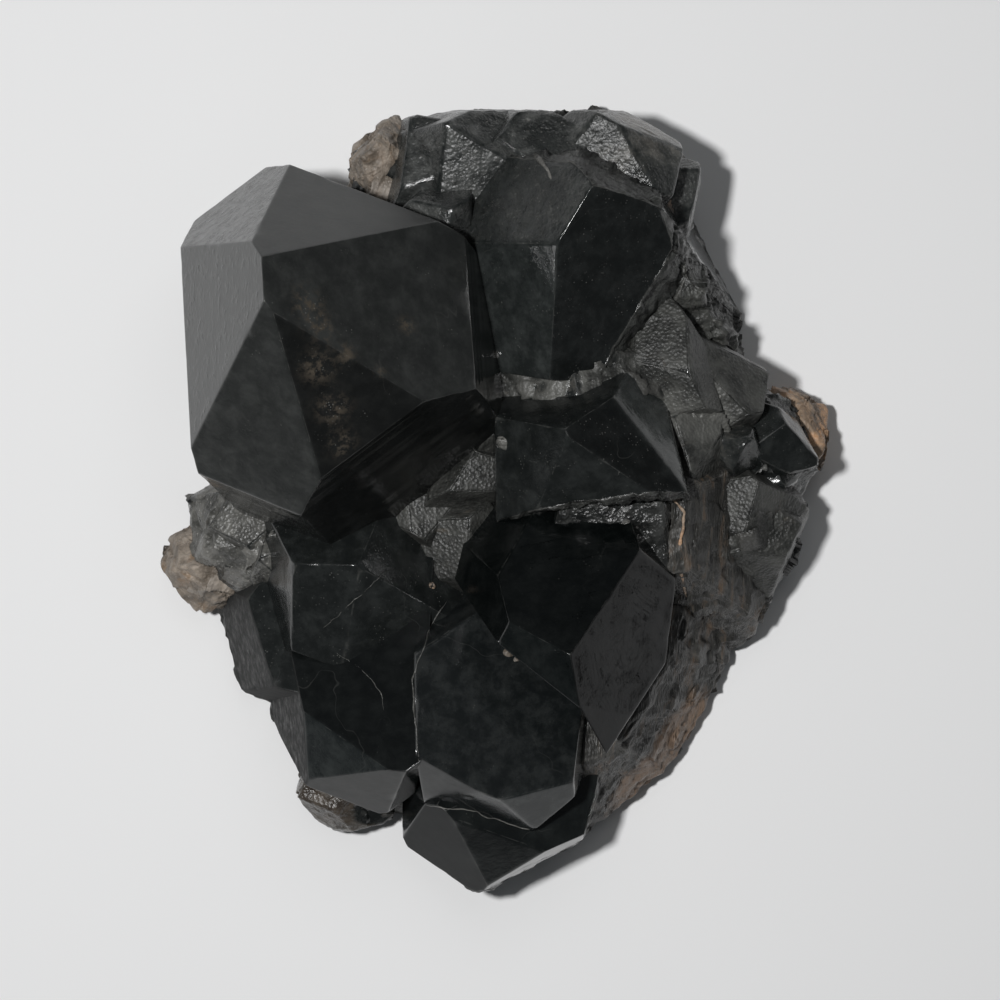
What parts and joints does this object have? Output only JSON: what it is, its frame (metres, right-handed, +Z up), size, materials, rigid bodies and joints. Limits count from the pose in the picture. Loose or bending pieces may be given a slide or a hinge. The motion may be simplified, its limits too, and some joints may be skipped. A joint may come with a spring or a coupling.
{
  "type": "morion quartz crystal cluster",
  "caption": "Dark smoky quartz cluster with flat-faced leaning crystals on a rough quartz root, resting on a flat base.",
  "frame": {"origin": "on the flat base, near the middle of the cluster", "axes": "+Z up out of the flat base, +Y to the back of the cluster, +X to its right as pictured from above"},
  "size_m": [0.0697, 0.0806, 0.0454],
  "materials": {
    "morion_quartz": "glassy, almost opaque black smoky quartz; faces polished by growth, root rough and grey with brown stains"
  },
  "bodies": {
    "root": {"quartz_cluster": "morion_quartz"}
  },
  "joints": []
}
